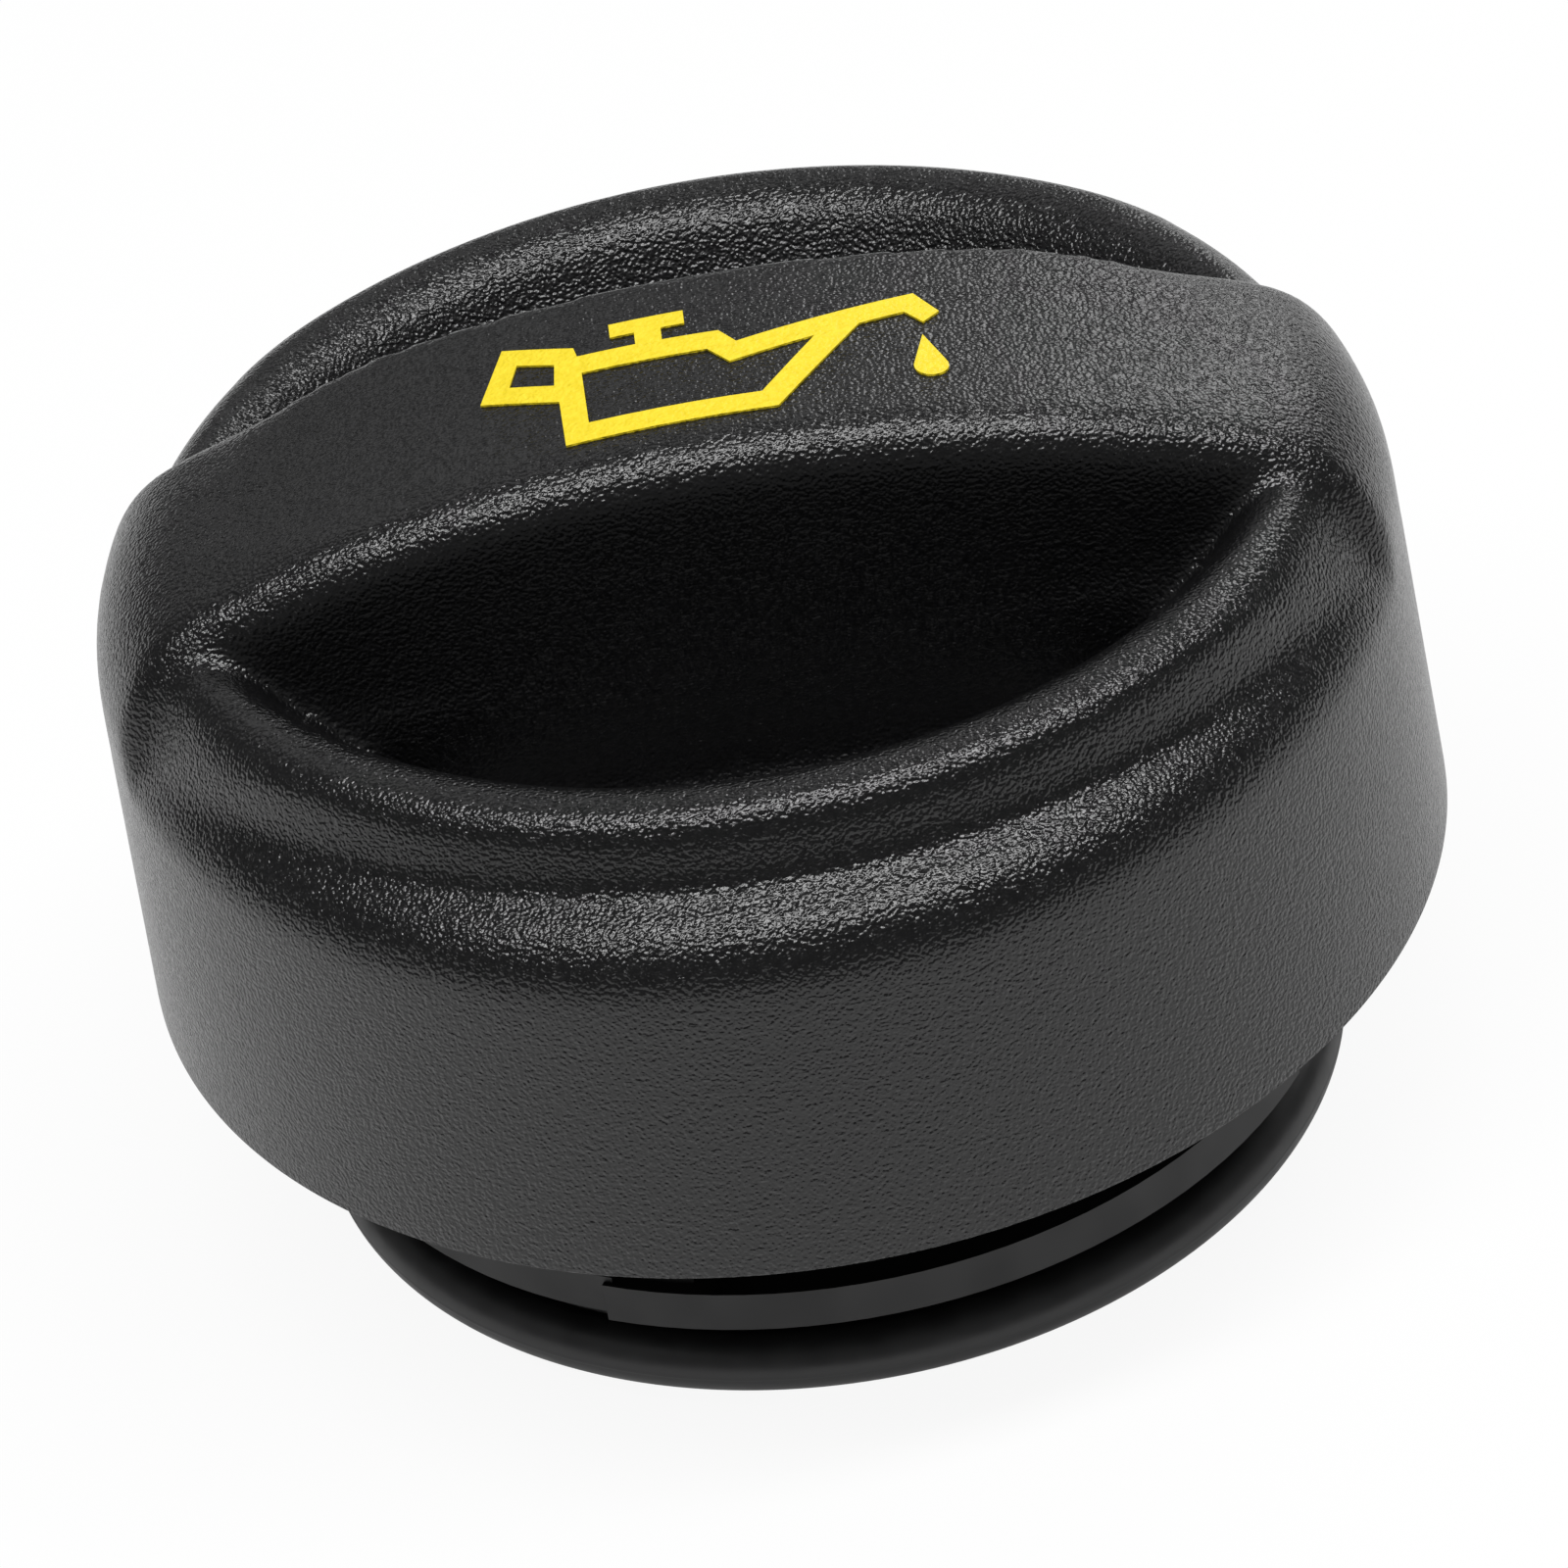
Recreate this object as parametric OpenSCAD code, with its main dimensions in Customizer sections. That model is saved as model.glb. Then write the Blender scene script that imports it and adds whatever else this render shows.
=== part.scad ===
// Oil filler cap: a grip cap and bayonet neck in one moulding, its seal ring and its printed oil can sign.
// Heights inside the modules run from the skirt's bottom edge, and each part is lifted by neck_drop at
// the end, so that the whole cap stands on the bottom rim of its neck. The grip bar runs along X.

/* [Skirt and shoulder] */
// Radius of the skirt at its bottom edge
skirt_r = 35; // [33:0.5:40]
// Draft of the skirt's outer wall, in degrees
skirt_draft = 1.9; // [0.5:0.1:3]
// Height of the straight outer wall
wall_h = 17.2; // [15:0.1:19]
// Radius of the shoulder between the wall and the ledge
shoulder_fillet = 4.2; // [3:0.1:5]
// Slope of the ledge outside the rim crest, in degrees
ledge_slope = 20; // [14:1:28]
// Thickness of the moulded wall
wall_t = 2.4; // [1.8:0.1:2.8]

/* [Grip bar] */
// Height of the bar's crown above the skirt's edge
bar_top = 32.4; // [30:0.1:36]
// Width of the bar across its top edges
bar_w = 17.6; // [15:0.1:20]
// Radius of the crown along the bar
crown_r = 82; // [70:1:100]
// Radius of the bar's top edges
bar_fillet = 2.7; // [2:0.1:3.5]
// Draft of the bar's sides, in degrees
bar_draft = 4; // [2:0.5:8]
// Radius from the outer wall over the bar's ends onto the crown
end_fillet = 8.5; // [6:0.1:10]

/* [Rim crests and scoops] */
// Distance of each crest's centre of curvature beyond the cap's axis
crest_shift = 4.2; // [3:0.1:5]
// Plan radius of a crest
crest_r = 32.2; // [31.5:0.1:33]
// Height of the crests above the skirt's edge
crest_top = 25.4; // [24:0.1:27]
// Radius of the crest's outer side
crest_fillet = 2; // [1.4:0.1:2.4]
// Radius of the crest's inner side, which rolls into the scoop
crest_roll = 3.5; // [2.5:0.1:4]
// Slope of the crest's outer flank from upright, in degrees
flank_draft = 12; // [6:1:20]
// Slope of the crests' ends where they run down to the shoulder, in degrees
rim_slope = 65; // [58:1:70]
// Slope of the shoulder where the crests' ends meet it, in degrees
rim_foot = 50; // [44:1:54]
// Radius of the fillet at the crests' ends
rim_fillet = 3.2; // [2:0.1:4]
// Height of the scoop's floor above the skirt's edge
scoop_floor = 14.5; // [12:0.1:16]
// Slope of the scoop's outer wall from upright, in degrees
scoop_draft = 18; // [10:1:24]
// Radius between the scoop's outer wall and its floor
scoop_fillet = 7; // [4:0.5:8]
// Radius between the bar's side and the scoop's floor
foot_fillet = 6.5; // [4:0.5:7]

/* [Neck and bayonet] */
// Wall of the neck tube
neck_wall = 2.4; // [1.8:0.1:3]
// Radius over the bayonet lugs
lug_r = 28.1; // [27.4:0.1:28.4]
// Thickness of a lug
lug_t = 2.35; // [1.8:0.05:2.8]
// Depth of the lugs' top below the skirt's edge
lug_drop = 6.85; // [6:0.05:7.5]
// Angle that one lug covers
lug_angle = 121; // [90:1:135]
// Angle of the lug's lead-in
lead_angle = 32; // [20:1:40]
// Set-back of the lead-in from the lug's face and underside
lead_step = 0.3; // [0.1:0.05:0.6]
// Rise of the lead-in above the lug's top
lead_rise = 0.35; // [0.1:0.05:0.6]
// Radius over the stop rib on the neck
stop_r = 27.2; // [26.4:0.1:28]
// Height of the stop rib
stop_h = 3.4; // [2:0.1:5]
// Angle that the stop rib covers
stop_angle = 6; // [4:1:8]
// Angle from the lug's step to the stop rib
stop_lead = 4; // [2:1:8]

/* [Seal ring] */
// Outer radius of the seal ring
seal_r = 28.1; // [27.4:0.1:28.6]
// Diameter of the ring's section
seal_d = 3.32; // [3:0.02:3.6]
// Depth of the ring's centre below the skirt's edge
seal_drop = 12.64; // [12.2:0.02:13.6]
// Clearance between the ring and the floor of its groove
seal_fit = 0.03; // [0.01:0.01:0.1]
// Side play of the ring in its groove
groove_play = 0.2; // [0.1:0.05:0.4]
// Depth of the groove
groove_depth = 1.3; // [1:0.1:1.5]
// Thickness of the flange below the ring
flange_t = 1.1; // [1:0.1:2]
// Chamfer that leads the neck into the filler
lead_chamfer = 0.6; // [0.2:0.1:0.8]

/* [Inside ribs] */
// Thickness of the cross ribs inside the bar
rib_t = 1.6; // [1:0.1:2.4]
// Distance of each cross rib from the cap's axis
rib_x = 11; // [8:0.5:14]

/* [Printed sign] */
// Length of the oil can sign
sign_l = 24.2; // [18:0.1:26]
// Thickness of the print
sign_t = 0.12; // [0.08:0.01:0.2]

/* [Hidden] */
$fn = 120;

// Overlap of shapes that are joined, and the reach of cuts past a face
lap = 1;
// How far an arc runs on past the face that it blends into
blend = 0.04;
// Wall at the bar's ends as a share of the wall elsewhere
end_share = 1.1;
// Faces that make up each rounded edge outside and inside the shell
steps = 8;
inner_steps = 3;
// How far the crests' ends run on inside the shoulder
rim_sink = 0.3;
// Height above every form of the cap
high = bar_top + 20;
// Radius beyond every form of the cap
wide = skirt_r + 20;

neck_r = seal_r - seal_d - seal_fit;
bore_r = neck_r - neck_wall;
collar_r = neck_r + groove_depth;
groove_floor = seal_drop + seal_d / 2;
groove_roof = groove_floor - seal_d - groove_play;
neck_drop = groove_floor + flange_t;
lug_start = -90 - lug_angle / 2;

// Radius of the outer wall at height z, set in by t
function wall_r(z, t) = skirt_r - z * tan(skirt_draft) - t / cos(skirt_draft);
// Point at distance d from c, at angle a from the horizontal
function polar(c, d, a) = [c[0] + d * cos(a), c[1] + d * sin(a)];
// Points of an arc of radius r about c, from angle a to angle b in n steps
function arc(c, r, a, b, n = steps) = [for (i = [0:n]) polar(c, r, a + (b - a) * i / n)];
// Steps of an arc on a form set in by t: fewer inside the shell
function grade(t) = t == 0 ? steps : inner_steps;

// Centre of the shoulder's arc, which touches the wall at wall_h
shoulder_c = polar([wall_r(wall_h, 0), wall_h], -shoulder_fillet, skirt_draft);
// Foot of the crests' ends inside the shoulder, and the centre of their top fillet
rim_low = polar(polar(shoulder_c, shoulder_fillet, 90 - rim_foot), rim_sink, -rim_slope);
rim_z = crest_top + blend - rim_fillet;
rim_in = (rim_low[1] - rim_z) * cos(rim_slope) - rim_fillet;
rim_c = [rim_low[0] + rim_in / sin(rim_slope), rim_z];

// Height of the crown's axis, and the centre of the end fillet, which touches the wall and the crown
crown_z = bar_top - crown_r;
end_span = crown_r + blend - end_fillet;
end_reach = skirt_r - end_fillet / cos(skirt_draft);
end_a = 1 + pow(tan(skirt_draft), 2);
end_b = end_reach * tan(skirt_draft) + crown_z;
end_q = pow(end_reach, 2) + pow(crown_z, 2) - pow(end_span, 2);
end_z = (end_b + sqrt(pow(end_b, 2) - end_a * end_q)) / end_a;
end_c = [end_reach - end_z * tan(skirt_draft), end_z];
end_tip = asin(end_c[0] / end_span);

// Centres of the crest's outer and inner arcs, and of the arc at the foot of the scoop's outer wall
crest_c = [crest_r, crest_top - crest_fillet];
roll_c = [crest_r, crest_top - crest_roll];
scoop_top = polar(roll_c, crest_roll, 180 - scoop_draft);
scoop_z = scoop_floor + scoop_fillet;
scoop_in = ((scoop_z - scoop_top[1]) * sin(scoop_draft) - scoop_fillet) / cos(scoop_draft);
scoop_c = [scoop_top[0] + scoop_in, scoop_z];

// Centre of the bar's edge arc at mid length, as distance from the axis plane and height
edge_c = [bar_w / 2 - bar_fillet, bar_top - bar_fillet];
// Centre of the foot's arc between the bar's side and the scoop's floor, and the length of the foot
foot_z = scoop_floor + foot_fillet - blend;
side_gap = (bar_fillet + foot_fillet) / cos(bar_draft) - blend;
foot_c = [edge_c[0] + (edge_c[1] - foot_z) * tan(bar_draft) + side_gap, foot_z];
foot_l = 2 * sqrt(pow(scoop_top[0], 2) - pow(bar_w / 2 + crest_shift, 2));

// Revolved outer wall, shoulder and ledge, all set in by t and reaching down to z0
module base(t, z0) {
    shoulder = arc(shoulder_c, shoulder_fillet - t, skirt_draft, 90 - ledge_slope, grade(t));
    ledge_out = shoulder[len(shoulder) - 1];
    ledge_in_r = crest_r - crest_shift - crest_fillet;
    ledge_in_z = ledge_out[1] + (ledge_out[0] - ledge_in_r) * tan(ledge_slope);
    rotate_extrude() polygon(concat(
        [[0, z0], [wall_r(z0, t), z0]],
        shoulder,
        [[ledge_in_r, ledge_in_z], [0, ledge_in_z]]
    ));
}

// Revolved envelope of the bar's ends, set in by t: outer wall, end fillet and a cone above the crown
module bar_ends(t, z0) {
    bend = arc(end_c, end_fillet - t, skirt_draft, 90 - end_tip, grade(t));
    crown_out = bend[len(bend) - 1];
    rotate_extrude() polygon(concat(
        [[0, z0], [wall_r(z0, t), z0]],
        bend,
        [[0, crown_out[1] + crown_out[0] * tan(end_tip)]]
    ));
}

// Half section of the bar, set in by t, from its root to its crown, as distance from the crown's axis
// and distance along it
function bar_side(t) =
    let (
        fillet = max(bar_fillet - t, wall_t / 4),
        centre = [crown_r - t - fillet, bar_w / 2 - t - fillet],
        edge = arc(centre, fillet, 90 - bar_draft, 0, grade(t)),
        root_r = -crown_z - 2 * lap
    )
    concat([[root_r, edge[0][1] + (edge[0][0] - root_r) * tan(bar_draft)]], edge);

// Crowned grip bar, set in by t: its section turned about a level axis far below it
module bar(t, z0) {
    side = bar_side(t);
    far_side = [for (i = [len(side) - 1:-1:0]) [side[i][0], -side[i][1]]];
    intersection() {
        bar_ends(t * end_share, z0);
        translate([0, 0, crown_z]) rotate([90, 0, 0]) rotate_extrude() polygon(concat(side, far_side));
    }
}

// Cove along the foot of each side of the bar
module bar_feet() {
    cove = arc(foot_c, foot_fillet, 180 + bar_draft, 270);
    for (way = [1, -1]) {
        rotate([90, 0, 90]) linear_extrude(foot_l, center = true) scale([way, 1]) polygon(concat(
            cove,
            [[foot_c[0], scoop_floor - lap], [0, scoop_floor - lap], [0, cove[0][1]]]
        ));
    }
}

// Half space on the side of the bar that a crest or scoop lies on
module side_half(way) {
    translate([-wide, way > 0 ? 0 : -wide, -wide]) cube([2 * wide, wide, 2 * wide + high]);
}

// Scoop and the crest around it in one revolve: floor, outer wall, rounded crest and outer flank
module crested_bowl() {
    crest = arc(crest_c, crest_fillet, flank_draft, 90);
    roll_step = (90 - scoop_draft) / steps;
    foot = scoop_floor - 2 * lap;
    rotate_extrude() polygon(concat(
        [[0, foot], [crest[0][0] + (crest[0][1] - foot) * tan(flank_draft), foot]],
        crest,
        arc(roll_c, crest_roll, 90 + roll_step, 180 - scoop_draft, steps - 1),
        arc(scoop_c, scoop_fillet, -scoop_draft, -90),
        [[0, scoop_floor]]
    ));
}

// Round envelope that runs the crests' ends down to the shoulder
module crest_ends() {
    rotate_extrude() polygon(concat(
        [[0, 0], [rim_low[0], 0], rim_low],
        arc(rim_c, rim_fillet, 90 - rim_slope, 90),
        [[0, crest_top + blend]]
    ));
}

// Side of the cap that carries one scoop: ledge and shoulder outside, crested bowl inside
module scooped_side(way) {
    intersection() {
        side_half(way);
        union() {
            difference() {
                base(0, 0);
                translate([0, -way * crest_shift, scoop_floor - lap]) cylinder(r = crest_r, h = high);
            }
            intersection() {
                translate([0, -way * crest_shift, 0]) crested_bowl();
                crest_ends();
            }
        }
    }
}

// Finger scoop on one side, grown by t
module scoop(way, t) {
    bowl = arc(scoop_c, scoop_fillet + t, -90, -scoop_draft, grade(t));
    wall = bowl[len(bowl) - 1];
    intersection() {
        side_half(way);
        translate([0, -way * crest_shift, 0]) rotate_extrude() polygon(concat(
            [[0, scoop_floor - t]],
            bowl,
            [[wall[0] + (high - wall[1]) * tan(scoop_draft), high], [0, high]]
        ));
    }
}

// Outer form of the cap without its neck
module outside() {
    for (way = [1, -1]) scooped_side(way);
    bar(0, 0);
    bar_feet();
}

// The same form one wall thickness further in
module hollow() {
    difference() {
        base(wall_t, -lap);
        for (way = [1, -1]) scoop(way, wall_t);
    }
    bar(wall_t, -lap);
}

// Ring between two radii and two heights over an angle
module ring_sector(r_in, r_out, z_low, z_top, angle) {
    rotate_extrude(angle = angle) translate([r_in, z_low]) square([r_out - r_in, z_top - z_low]);
}

// Neck tube below the cap with the collar and flange that hold the seal ring
module neck() {
    rotate_extrude() polygon([
        [0, lap],
        [neck_r, lap],
        [neck_r, -lug_drop - lug_t / 2],
        [collar_r, -lug_drop - lug_t / 2],
        [collar_r, -groove_roof],
        [neck_r, -groove_roof],
        [neck_r, -groove_floor],
        [collar_r, -groove_floor],
        [collar_r, lead_chamfer - neck_drop],
        [collar_r - lead_chamfer, -neck_drop],
        [0, -neck_drop]
    ]);
}

// One bayonet lug: lead-in, lug and the stop rib behind its step
module lug() {
    low = -lug_drop - lug_t;
    root = neck_r - neck_wall / 2;
    rotate([0, 0, lug_start]) {
        ring_sector(root, lug_r - lead_step, low + lead_step, lead_rise - lug_drop, lead_angle + lap);
        rotate([0, 0, lead_angle]) {
            ring_sector(root, lug_r, low, -lug_drop, lug_angle - lead_angle);
            rotate([0, 0, stop_lead]) {
                ring_sector(root, stop_r, low + lug_t / 2, stop_h - lug_drop, stop_angle);
            }
        }
    }
}

// Cross ribs that stiffen the bar from inside
module ribs() {
    for (way = [1, -1]) {
        translate([way * rib_x - rib_t / 2, -bar_w / 2, scoop_floor - wall_t]) cube([rib_t, bar_w, high]);
    }
}

module cap_body() {
    color([0.16, 0.16, 0.17]) translate([0, 0, neck_drop]) difference() {
        union() {
            outside();
            neck();
            for (turn = [0, 180]) rotate([0, 0, turn]) lug();
        }
        difference() {
            hollow();
            difference() {
                translate([0, 0, -2 * lap]) cylinder(r = neck_r, h = high);
                translate([0, 0, -3 * lap]) cylinder(r = bore_r, h = high + 2 * lap);
            }
            ribs();
        }
        translate([0, 0, -neck_drop - lap]) cylinder(r = bore_r, h = neck_drop + 2 * lap);
    }
}

module seal_ring() {
    centre_r = seal_r - seal_d / 2;
    color([0.08, 0.08, 0.08]) translate([0, 0, neck_drop - seal_drop]) {
        rotate_extrude() translate([centre_r, 0]) circle(seal_d / 2);
    }
}

// Oil can sign in plan, drawn in hundredths of its length: can with spout, knob and handle, and the drop
module oil_can() {
    difference() {
        polygon([
            [-31.8, -21.1], [14, -21.1], [33.5, 6.8], [43.4, 9.9], [47.1, 5.6], [50.8, 9.5], [45.9, 16.9],
            [7, 5.6], [3.5, 10.7], [-8.7, 11], [-8.7, 15.7], [-3.5, 15.7], [-3.5, 20.7], [-19.8, 20.7],
            [-19.8, 15.7], [-14.5, 15.7], [-14.5, 11.2], [-27.3, 11.4], [-27.9, 14.9], [-43.4, 20.9],
            [-49.2, 2.7], [-32.2, -4.1]
        ]);
        polygon([[-26.7, 4.8], [0.6, 4.3], [5, -1.7], [23.8, 3.9], [11, -14.9], [-26.4, -14.5]]);
        polygon([[-40.5, 13.8], [-32.4, 10.3], [-32.9, 2.5], [-42.6, 6.2]]);
    }
    polygon(concat(arc([47.3, -11.2], 3.7, 20, -192, 3 * steps), [[46.5, 0.8]]));
}

module oil_sign() {
    color([1, 0.87, 0.12]) translate([0, 0, neck_drop]) intersection() {
        linear_extrude(high) scale(sign_l / 100) oil_can();
        translate([0, 0, crown_z]) rotate([90, 0, 0]) rotate_extrude($fn = 6 * $fn) {
            translate([crown_r, -bar_w / 2]) square([sign_t, bar_w]);
        }
    }
}

cap_body();
seal_ring();
oil_sign();
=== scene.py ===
import math
import bmesh
import bpy
from mathutils import Matrix, Vector


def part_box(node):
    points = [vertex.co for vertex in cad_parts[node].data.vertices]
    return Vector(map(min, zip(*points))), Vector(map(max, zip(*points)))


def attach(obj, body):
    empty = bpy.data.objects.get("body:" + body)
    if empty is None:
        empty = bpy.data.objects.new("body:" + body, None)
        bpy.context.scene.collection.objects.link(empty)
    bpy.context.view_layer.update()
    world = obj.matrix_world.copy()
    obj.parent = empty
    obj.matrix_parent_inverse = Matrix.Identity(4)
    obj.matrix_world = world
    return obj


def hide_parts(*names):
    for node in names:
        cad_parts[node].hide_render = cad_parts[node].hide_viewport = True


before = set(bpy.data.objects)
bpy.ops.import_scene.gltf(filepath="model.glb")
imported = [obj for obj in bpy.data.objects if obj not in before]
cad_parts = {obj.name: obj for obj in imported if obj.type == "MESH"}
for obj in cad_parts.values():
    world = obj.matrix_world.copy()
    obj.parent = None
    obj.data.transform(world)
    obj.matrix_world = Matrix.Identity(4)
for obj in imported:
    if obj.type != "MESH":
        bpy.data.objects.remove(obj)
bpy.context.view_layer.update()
scene = bpy.context.scene
scene.view_settings.view_transform = "Standard"

# Camera: a long lens that looks down on the cap from the front, turned a little about its own axis,
# as the photograph was taken.
camera_data = bpy.data.cameras.new("camera")
camera_data.lens = 216
camera_data.sensor_width = 36
camera_data.clip_start, camera_data.clip_end = 0.01, 10
camera = bpy.data.objects.new("camera", camera_data)
camera.location = (0.010609, -0.405008, 0.316254)
camera.rotation_euler = [math.radians(turn) for turn in (53.4006, 8.4364, -4.7181)]
scene.collection.objects.link(camera)
scene.camera = camera

# Cap: one black moulding in glass-filled plastic. The grip is spark-eroded in the tool, so it has a fine
# leathery grain and every form runs softly into the next. The neck and the inside are left smooth.
grip_grid = 0.00041
rim_break = 0.00018
rim_step = 0.0006
wall_draft = math.tan(math.radians(1.9))
wall_h = 0.0160
shoulder_h = 0.0185
rim_w = 0.0008
wall_skin = 0.003
same_point = 2e-7
same_height = 1e-5

cap_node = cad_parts["cap_body"]
wall_foot_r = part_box("cap_body")[1].x
core = bmesh.new()
core.from_mesh(cap_node.data)
bmesh.ops.remove_doubles(core, verts=core.verts, dist=same_point)
skirt_z = min(v.co.z for v in core.verts if v.co.xy.length > wall_foot_r - same_height)


def is_rim(face):
    """True for the level faces at the skirt's lower edge, where the grip ends."""
    return face.normal.z < -0.99 and abs(face.calc_center_median().z - skirt_z) < same_height


# The outer side is grown face by face from the crown down to the rim, and taken off the rest.
core.faces.ensure_lookup_table()
outer = {max(core.faces, key=lambda face: face.calc_center_median().z)}
edge_of_growth = list(outer)
while edge_of_growth:
    face = edge_of_growth.pop()
    for edge in face.edges:
        for other in edge.link_faces:
            if other not in outer and not is_rim(other):
                outer.add(other)
                edge_of_growth.append(other)
for face in core.faces:
    face.tag = face in outer
    face.material_index = 1
grip = core.copy()
bmesh.ops.delete(core, geom=[face for face in core.faces if face.tag], context="FACES")
bmesh.ops.delete(grip, geom=[face for face in grip.faces if not face.tag], context="FACES")
bmesh.ops.holes_fill(grip, edges=[edge for edge in grip.edges if edge.is_boundary], sides=0)

# Inside each scoop the crest runs down in a wide slope, and the floor meets the bar's side in a tight foot.
# A turned tool cuts the foot and floor as far as the bar's side. A turned lip lays on the slope and runs
# a little into the bar.
bar_side = 0.0088
bar_side_z = skirt_z + 0.0297
bar_draft = math.tan(math.radians(4))
bowl_shift = 0.0042
bowl_floor_z = skirt_z + 0.0127
bowl_r = 0.0250
bowl_corner = 0.0015
slope_low = (bowl_r, skirt_z + 0.0180)
slope_top = (0.02937, skirt_z + 0.02396)
above = skirt_z + 0.040
lip_root = 0.002
lip_sink = 0.001
lip_crest = 0.0008
tool_outline = [
    (0, bowl_floor_z),
    (bowl_r - bowl_corner, bowl_floor_z),
    (bowl_r, bowl_floor_z + bowl_corner),
    slope_low,
    (slope_top[0] - bowl_corner, slope_top[1]),
    (slope_top[0] - bowl_corner, above),
    (0, above),
]
lip_outline = [
    (bowl_r, bowl_floor_z - lip_sink),
    (bowl_r + lip_root, bowl_floor_z - lip_sink),
    (slope_top[0] + lip_crest, slope_top[1] - lip_sink),
    slope_top,
    slope_low,
]


def made_object(name, form):
    """Object in the scene from a bmesh, which is freed."""
    mesh = bpy.data.meshes.new(name)
    form.to_mesh(mesh)
    form.free()
    thing = bpy.data.objects.new(name, mesh)
    scene.collection.objects.link(thing)
    return thing


def turned(name, outline, way, into_bar):
    """Closed form turned about a scoop's axis and cut off the given depth inside the bar's side."""
    form = bmesh.new()
    corners = [form.verts.new((out, 0, height)) for out, height in outline]
    edges = [form.edges.new(pair) for pair in zip(corners, corners[1:] + corners[:1])]
    bmesh.ops.spin(
        form, geom=corners + edges, cent=(0, 0, 0), axis=(0, 0, 1),
        angle=2 * math.pi, steps=120, use_merge=True,
    )
    bmesh.ops.remove_doubles(form, verts=form.verts, dist=1e-7)
    bmesh.ops.dissolve_degenerate(form, edges=form.edges, dist=1e-8)
    bmesh.ops.translate(form, verts=form.verts, vec=(0, -way * bowl_shift, 0))
    bmesh.ops.bisect_plane(
        form, geom=form.verts[:] + form.edges[:] + form.faces[:], dist=1e-8, clear_inner=True,
        plane_co=(0, way * (bar_side - into_bar), bar_side_z), plane_no=(0, way, bar_draft),
    )
    bmesh.ops.holes_fill(form, edges=[edge for edge in form.edges if edge.is_boundary], sides=0)
    bmesh.ops.recalc_face_normals(form, faces=form.faces)
    return made_object(name, form)


# The bar's far top edge is nearly sharp, so its rounding is filled up to a strip that follows the crown
# and fades out towards both ends.
crown_r = 0.082
crown_z = skirt_z + 0.0324
strip_inner_y = 0.0050
strip_low_r = 0.079
strip_lean = 0.0001
strip_half = 0.0245
fade_start = 0.015
fade_depth = 0.0018
strip_turn = math.asin(strip_half / crown_r)
strip_form = bmesh.new()
strip_section = [
    (strip_inner_y, strip_low_r),
    (bar_side + strip_lean, strip_low_r),
    (bar_side, crown_r),
    (strip_inner_y, crown_r),
]
strip_form.faces.new([strip_form.verts.new((0, far, out)) for far, out in strip_section])
bmesh.ops.rotate(
    strip_form, verts=strip_form.verts, cent=(0, 0, 0), matrix=Matrix.Rotation(-strip_turn, 3, "Y"),
)
bmesh.ops.spin(
    strip_form, geom=strip_form.faces[:], cent=(0, 0, 0), axis=(0, 1, 0), angle=2 * strip_turn, steps=48,
)
bmesh.ops.translate(strip_form, verts=strip_form.verts, vec=(0, 0, crown_z - crown_r))
for v in strip_form.verts:
    past_start = abs(v.co.x) - fade_start
    if v.co.y > strip_inner_y + 0.001 and past_start > 0:
        v.co.y -= fade_depth * (past_start / (strip_half - fade_start)) ** 2
bmesh.ops.recalc_face_normals(strip_form, faces=strip_form.faces)
edge_strip = made_object("edge_strip", strip_form)

# The tools, lips and strip are joined one after the other, and the strip has to come last. Then the grip is
# laid over with an even grid, whose points can settle into soft valleys.
grip_form = made_object("grip", grip)
joins = []
for way in (1, -1):
    joins.append((turned("scoop_tool", tool_outline, way, 0), "DIFFERENCE"))
    joins.append((turned("scoop_lip", lip_outline, way, lip_root), "UNION"))
joins.append((edge_strip, "UNION"))
for helper, job in joins:
    step = grip_form.modifiers.new(helper.name, "BOOLEAN")
    step.operation = job
    step.solver = "EXACT"
    step.object = helper
grid = grip_form.modifiers.new("grid", "REMESH")
grid.mode = "VOXEL"
grid.voxel_size = grip_grid
grid.adaptivity = 0
bpy.context.view_layer.update()
even = bpy.data.meshes.new_from_object(grip_form.evaluated_get(bpy.context.evaluated_depsgraph_get()))
for helper in [grip_form] + [helper for helper, job in joins]:
    bpy.data.objects.remove(helper)
grip = bmesh.new()
grip.from_mesh(even)
bmesh.ops.delete(grip, geom=[v for v in grip.verts if v.co.z < skirt_z + 0.0002], context="VERTS")


def settle(points, times):
    """Moves each point half of the way to the middle of its neighbours, the given number of times."""
    for step in range(times):
        bmesh.ops.smooth_vert(
            grip, verts=points, factor=0.5, use_axis_x=True, use_axis_y=True, use_axis_z=True,
        )


def is_hollow(v):
    """True where the middle of a point's neighbours lies outside it by more than 4 thousandths of a mm."""
    middle = sum((edge.other_vert(v).co for edge in v.link_edges), Vector()) / len(v.link_edges)
    return (middle - v.co).dot(v.normal) > 4e-6


def in_scoop(v):
    return v.co.z > bowl_floor_z - lip_sink and v.co.xy.length < wall_r


wall_top_z = skirt_z + wall_h
shoulder_z = skirt_z + shoulder_h
wall_r = wall_foot_r - wall_skin
wall = [v for v in grip.verts if v.co.z < wall_top_z and v.co.xy.length > wall_r]
above_wall = [v for v in grip.verts if v.co.z > wall_top_z or in_scoop(v)]
valleys = [v for v in above_wall if v.co.z > shoulder_z or v.co.xy.length < wall_r]
ends_x = 0.022
ends_y = (0.004, 0.018)
grip_ends = [v for v in valleys if abs(v.co.x) > ends_x and ends_y[0] < abs(v.co.y) < ends_y[1]]
settle(above_wall, 3)
for times in range(3):
    grip.normal_update()
    settle([v for v in valleys if is_hollow(v)], 2)
settle(grip_ends, 8)
settle(above_wall, 2)

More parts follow.
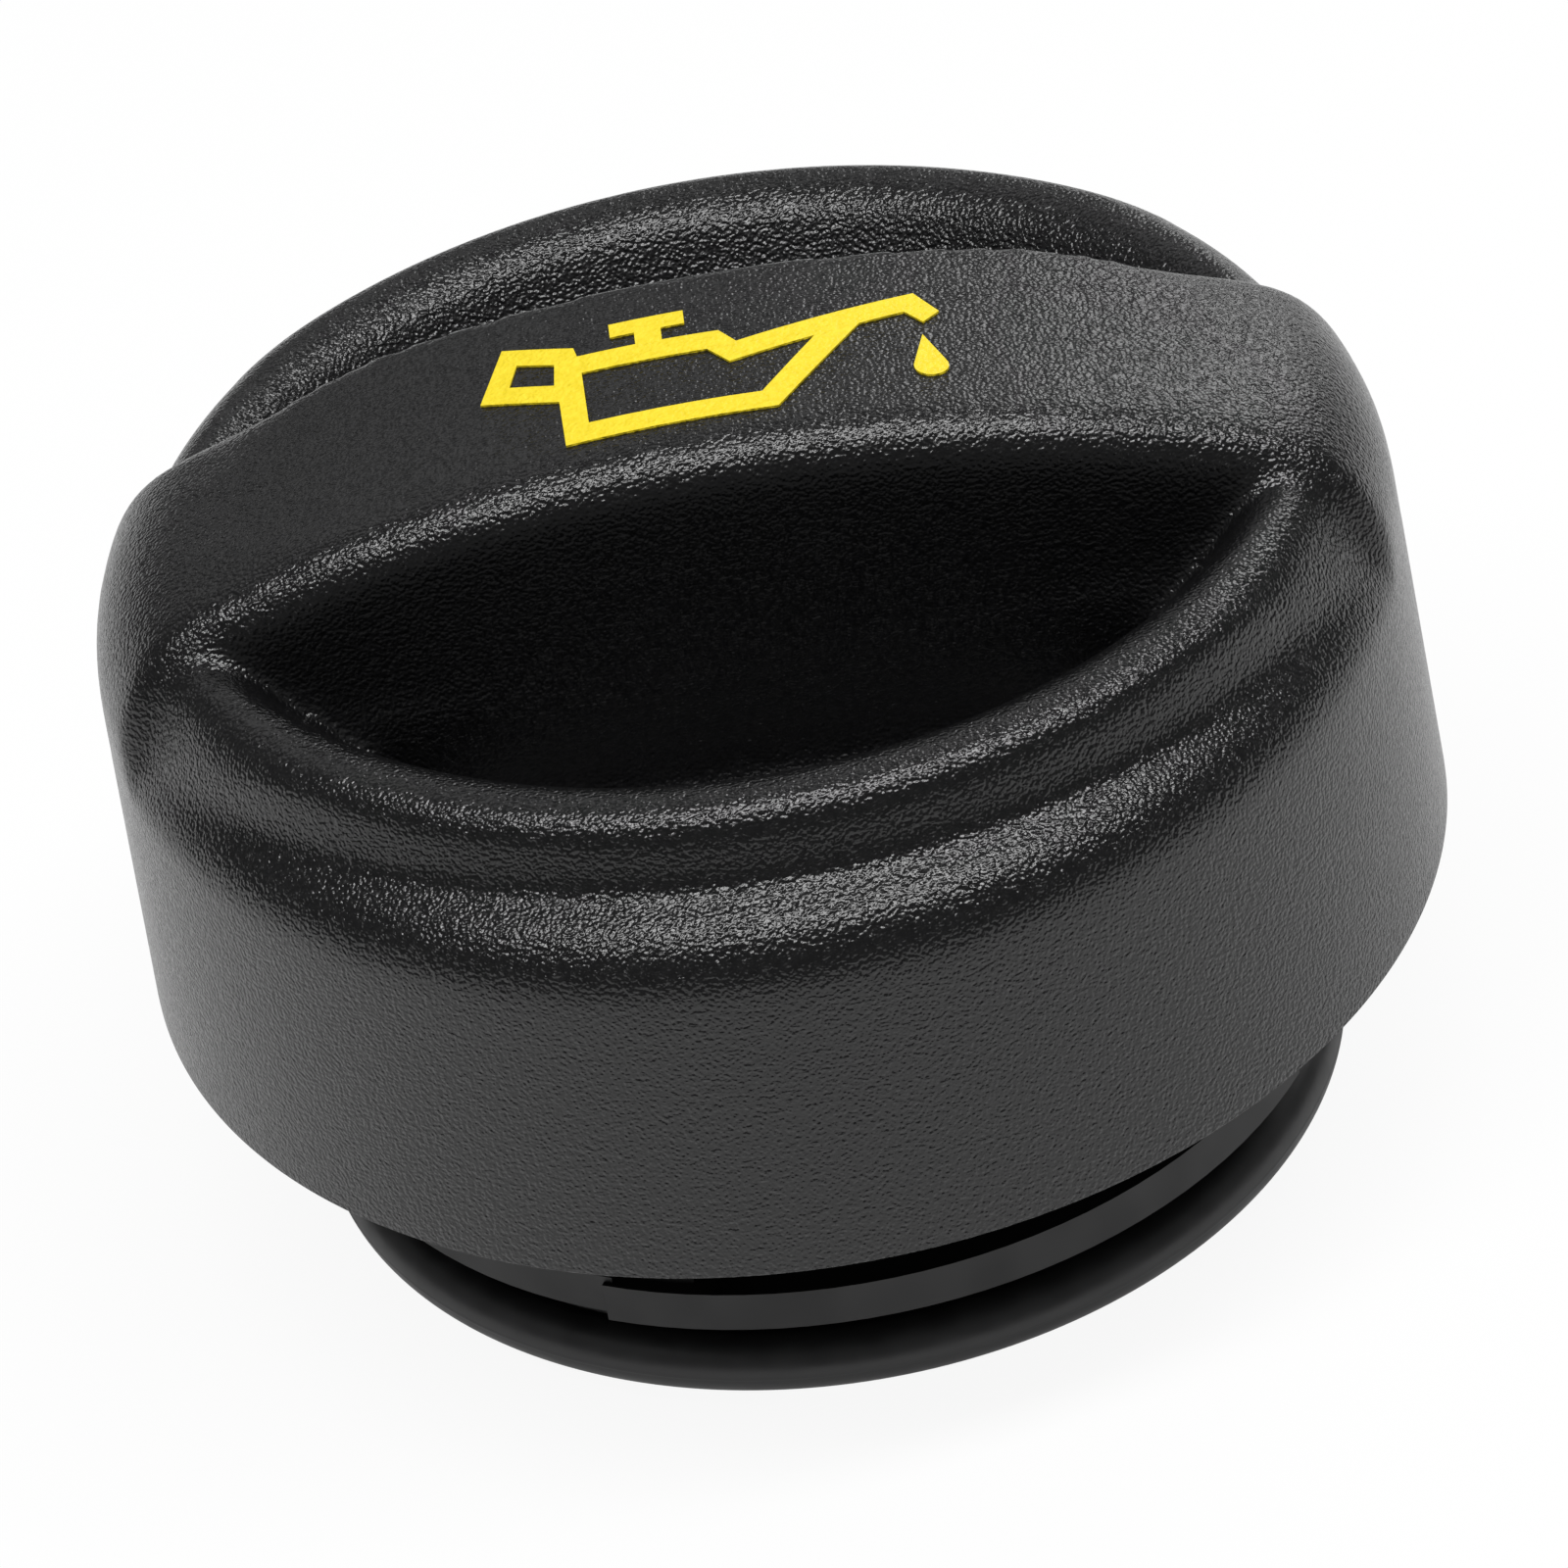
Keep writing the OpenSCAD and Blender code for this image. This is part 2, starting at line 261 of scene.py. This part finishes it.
# The wall is turned true again, then cut level just above the rim and closed round onto the core.
for v in wall:
    true_r = wall_foot_r - (v.co.z - skirt_z) * wall_draft
    v.co.xy *= true_r / v.co.xy.length
cut_z = skirt_z + rim_step
bmesh.ops.bisect_plane(
    grip, geom=grip.verts[:] + grip.edges[:] + grip.faces[:], dist=1e-7,
    plane_co=(0, 0, cut_z), plane_no=(0, 0, 1), clear_inner=True,
)
rim_edges = [edge for edge in grip.edges if edge.is_boundary]
lowered = bmesh.ops.extrude_edge_only(grip, edges=rim_edges)
for v in [item for item in lowered["geom"] if isinstance(item, bmesh.types.BMVert)]:
    v.co.z = skirt_z + rim_break
for face in grip.faces:
    face.material_index = 0
grip_part = bpy.data.meshes.new("grip_part")
grip.to_mesh(grip_part)
grip.free()

for v in core.verts:
    if abs(v.co.z - skirt_z) < same_height and v.co.xy.length > wall_foot_r - rim_w:
        v.co.xy *= 1 - rim_break / wall_foot_r
core.from_mesh(grip_part)
open_edges = [edge for edge in core.edges if edge.is_boundary]
bmesh.ops.bridge_loops(core, edges=open_edges)
bmesh.ops.triangulate(core, faces=[face for face in core.faces if len(face.verts) > 4])
cap_mesh = bpy.data.meshes.new("cap")
core.to_mesh(cap_mesh)
core.free()
if "custom_normal" in cap_mesh.attributes:
    cap_mesh.attributes.remove(cap_mesh.attributes["custom_normal"])
for polygon in cap_mesh.polygons:
    polygon.use_smooth = True
cap_mesh.set_sharp_from_angle(angle=math.radians(35))
cap = bpy.data.objects.new("cap", cap_mesh)
scene.collection.objects.link(cap)

# The moulded grain: small rounded pits and swells of mixed size, with patches a little lighter and duller.
grain = bpy.data.node_groups.new("moulded_grain", "ShaderNodeTree")
for socket, kind in (
    ("Position", "NodeSocketVector"), ("Grains per Metre", "NodeSocketFloat"),
    ("Dark Color", "NodeSocketColor"), ("Light Color", "NodeSocketColor"),
    ("Least Roughness", "NodeSocketFloat"), ("Most Roughness", "NodeSocketFloat"),
):
    grain.interface.new_socket(socket, in_out="INPUT", socket_type=kind)
grain.interface.new_socket("Color", in_out="OUTPUT", socket_type="NodeSocketColor")
grain.interface.new_socket("Roughness", in_out="OUTPUT", socket_type="NodeSocketFloat")
grain.interface.new_socket("Height", in_out="OUTPUT", socket_type="NodeSocketFloat")
grain_in = grain.nodes.new("NodeGroupInput")
grain_out = grain.nodes.new("NodeGroupOutput")
swell = grain.nodes.new("ShaderNodeTexNoise")
swell.inputs["Detail"].default_value = 0.0
grain.links.new(grain_in.outputs["Position"], swell.inputs["Vector"])
grain.links.new(grain_in.outputs["Grains per Metre"], swell.inputs["Scale"])
finer = grain.nodes.new("ShaderNodeMath")
finer.operation = "MULTIPLY"
finer.inputs[1].default_value = 1.3
grain.links.new(grain_in.outputs["Grains per Metre"], finer.inputs[0])
pits = grain.nodes.new("ShaderNodeTexVoronoi")
pits.feature = "F1"
grain.links.new(grain_in.outputs["Position"], pits.inputs["Vector"])
grain.links.new(finer.outputs[0], pits.inputs["Scale"])
relief = grain.nodes.new("ShaderNodeMath")
relief.operation = "MULTIPLY_ADD"
relief.inputs[1].default_value = -0.35
grain.links.new(pits.outputs["Distance"], relief.inputs[0])
grain.links.new(swell.outputs["Fac"], relief.inputs[2])
grain.links.new(relief.outputs[0], grain_out.inputs["Height"])
coarser = grain.nodes.new("ShaderNodeMath")
coarser.operation = "MULTIPLY"
coarser.inputs[1].default_value = 0.5
grain.links.new(grain_in.outputs["Grains per Metre"], coarser.inputs[0])
specks = grain.nodes.new("ShaderNodeTexNoise")
specks.inputs["Detail"].default_value = 1.0
grain.links.new(grain_in.outputs["Position"], specks.inputs["Vector"])
grain.links.new(coarser.outputs[0], specks.inputs["Scale"])
patch = grain.nodes.new("ShaderNodeMapRange")
patch.inputs["From Min"].default_value = 0.3
patch.inputs["From Max"].default_value = 0.7
grain.links.new(specks.outputs["Fac"], patch.inputs["Value"])
tone = grain.nodes.new("ShaderNodeMix")
tone.data_type = "RGBA"
grain.links.new(patch.outputs["Result"], tone.inputs[0])
grain.links.new(grain_in.outputs["Dark Color"], tone.inputs[6])
grain.links.new(grain_in.outputs["Light Color"], tone.inputs[7])
grain.links.new(tone.outputs[2], grain_out.inputs["Color"])
dullness = grain.nodes.new("ShaderNodeMapRange")
grain.links.new(patch.outputs["Result"], dullness.inputs["Value"])
grain.links.new(grain_in.outputs["Least Roughness"], dullness.inputs["To Min"])
grain.links.new(grain_in.outputs["Most Roughness"], dullness.inputs["To Max"])
grain.links.new(dullness.outputs["Result"], grain_out.inputs["Roughness"])


def grained(name, pitch, dark, light, roughness, depth):
    """Material with the moulded grain: its pitch and depth in metres, two tones and a roughness range."""
    material = bpy.data.materials.new(name)
    material.use_nodes = True
    nodes, links = material.node_tree.nodes, material.node_tree.links
    shader = nodes["Principled BSDF"]
    place = nodes.new("ShaderNodeTexCoord")
    surface = nodes.new("ShaderNodeGroup")
    surface.node_tree = grain
    surface.inputs["Grains per Metre"].default_value = 1 / pitch
    surface.inputs["Dark Color"].default_value = (*dark, 1)
    surface.inputs["Light Color"].default_value = (*light, 1)
    surface.inputs["Least Roughness"].default_value = roughness[0]
    surface.inputs["Most Roughness"].default_value = roughness[1]
    bump = nodes.new("ShaderNodeBump")
    bump.inputs["Distance"].default_value = depth
    links.new(place.outputs["Object"], surface.inputs["Position"])
    links.new(surface.outputs["Height"], bump.inputs["Height"])
    links.new(bump.outputs["Normal"], shader.inputs["Normal"])
    links.new(surface.outputs["Color"], shader.inputs["Base Color"])
    links.new(surface.outputs["Roughness"], shader.inputs["Roughness"])
    shader.inputs["IOR"].default_value = 1.52
    return material


cap.data.materials.append(grained(
    "grained_black_plastic", 0.00022,
    (0.0035, 0.0035, 0.0038), (0.0055, 0.0055, 0.0058), (0.21, 0.27), 0.00008,
))
cap.data.materials.append(grained(
    "smooth_black_plastic", 0.0016,
    (0.0050, 0.0050, 0.0054), (0.0070, 0.0070, 0.0074), (0.50, 0.60), 0.00001,
))
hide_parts("cap_body")
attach(cap, "root")

# Seal ring: a round-section rubber ring stretched into the neck's groove. It was moulded in two halves,
# so a fine line of flash runs round its outer and inner side.
flash = 0.00003
flash_w = math.radians(3)
ring_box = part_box("seal_ring")
section_r = (ring_box[1].z - ring_box[0].z) / 2 - flash
ring_z = (ring_box[1].z + ring_box[0].z) / 2
ring_r = ring_box[1].x - section_r - flash
ring = bmesh.new()
bmesh.ops.create_circle(ring, cap_ends=False, segments=120, radius=section_r)
for v in ring.verts:
    if abs(v.co.y) < section_r * flash_w / 2:
        v.co *= 1 + flash / section_r
upright = Matrix.Rotation(math.radians(90), 3, "X")
bmesh.ops.rotate(ring, verts=ring.verts, cent=(0, 0, 0), matrix=upright)
bmesh.ops.translate(ring, verts=ring.verts, vec=(ring_r, 0, ring_z))
bmesh.ops.spin(
    ring, geom=ring.verts[:] + ring.edges[:], cent=(0, 0, 0), axis=(0, 0, 1),
    angle=2 * math.pi, steps=240, use_merge=True,
)
bmesh.ops.remove_doubles(ring, verts=ring.verts, dist=1e-7)
bmesh.ops.recalc_face_normals(ring, faces=ring.faces)
ring_mesh = bpy.data.meshes.new("ring")
ring.to_mesh(ring_mesh)
ring.free()
for polygon in ring_mesh.polygons:
    polygon.use_smooth = True
rubber_ring = bpy.data.objects.new("rubber_ring", ring_mesh)
scene.collection.objects.link(rubber_ring)
rubber_ring.data.materials.append(grained(
    "satin_black_rubber", 0.0009,
    (0.0200, 0.0200, 0.0206), (0.0280, 0.0280, 0.0288), (0.36, 0.46), 0.00001,
))
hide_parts("seal_ring")
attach(rubber_ring, "root")

# Oil can sign: a thick yellow ink pad-printed on the bar's crown. The grain of the plastic shows through it
# a little softer, and its yellow varies slightly from patch to patch.
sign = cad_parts["oil_sign"]
sign.data.materials.clear()
sign.data.materials.append(grained(
    "yellow_print", 0.00022, (0.78, 0.60, 0.006), (0.86, 0.67, 0.018), (0.45, 0.55), 0.00006,
))

# Studio: a sheet of white paper that shows nearly plain white to the camera and keeps a soft shadow, a long
# soft box overhead and a little in front, a wide weak one behind, and one behind at the right.
sheet_side = 0.5
sheet_front = 0.15
sheet_back = 0.8
sheet_gap = 0.00002
sheet_form = bmesh.new()
bmesh.ops.create_grid(sheet_form, x_segments=1, y_segments=1, size=0.5)
bmesh.ops.scale(sheet_form, verts=sheet_form.verts, vec=(2 * sheet_side, sheet_front + sheet_back, 1))
bmesh.ops.translate(
    sheet_form, verts=sheet_form.verts, vec=(0, (sheet_back - sheet_front) / 2, -sheet_gap),
)
sheet = made_object("sheet", sheet_form)
paper = bpy.data.materials.new("white_paper")
paper.use_nodes = True
nodes, links = paper.node_tree.nodes, paper.node_tree.links
shader = nodes["Principled BSDF"]
shader.inputs["Base Color"].default_value = (0.8, 0.8, 0.8, 1)
shader.inputs["Roughness"].default_value = 0.9
glow = nodes.new("ShaderNodeEmission")
glow.inputs["Color"].default_value = (1, 1, 1, 1)
glow.inputs["Strength"].default_value = 1.0
seen = nodes.new("ShaderNodeLightPath")
plain = nodes.new("ShaderNodeMath")
plain.operation = "MULTIPLY"
plain.inputs[1].default_value = 0.92
links.new(seen.outputs["Is Camera Ray"], plain.inputs[0])
share = nodes.new("ShaderNodeMath")
share.operation = "MULTIPLY_ADD"
share.inputs[1].default_value = 0.4
links.new(seen.outputs["Is Glossy Ray"], share.inputs[0])
links.new(plain.outputs[0], share.inputs[2])
blend = nodes.new("ShaderNodeMixShader")
links.new(share.outputs[0], blend.inputs["Fac"])
links.new(shader.outputs["BSDF"], blend.inputs[1])
links.new(glow.outputs["Emission"], blend.inputs[2])
links.new(blend.outputs["Shader"], nodes["Material Output"].inputs["Surface"])
sheet.data.materials.append(paper)

world = bpy.data.worlds.new("studio")
scene.world = world
world.use_nodes = True
nodes, links = world.node_tree.nodes, world.node_tree.links
air = nodes["Background"]
air.inputs["Color"].default_value = (1, 1, 1, 1)
seen = nodes.new("ShaderNodeLightPath")
level = nodes.new("ShaderNodeMapRange")
level.inputs["To Min"].default_value = 0.15
level.inputs["To Max"].default_value = 1.0
links.new(seen.outputs["Is Camera Ray"], level.inputs["Value"])
links.new(level.outputs["Result"], air.inputs["Strength"])


def soft_lamp(name, place, size, level):
    """Soft box at place that faces the cap and is as bright as the given level of white."""
    lamp = bpy.data.lights.new(name, "AREA")
    lamp.shape = "RECTANGLE"
    lamp.size, lamp.size_y = size
    lamp.energy = level * math.pi * size[0] * size[1]
    holder = bpy.data.objects.new(name, lamp)
    holder.location = place
    towards_cap = Vector((0, 0, 0.03)) - Vector(place)
    holder.rotation_euler = towards_cap.to_track_quat("-Z", "Y").to_euler()
    scene.collection.objects.link(holder)


soft_lamp("overhead_box", (0.05, -0.21, 0.90), (1.3, 0.19), 14)
soft_lamp("back_box", (0.0, 0.85, 0.75), (1.6, 0.6), 0.5)
soft_lamp("right_box", (0.44, 0.78, 0.45), (0.4, 0.45), 3.5)
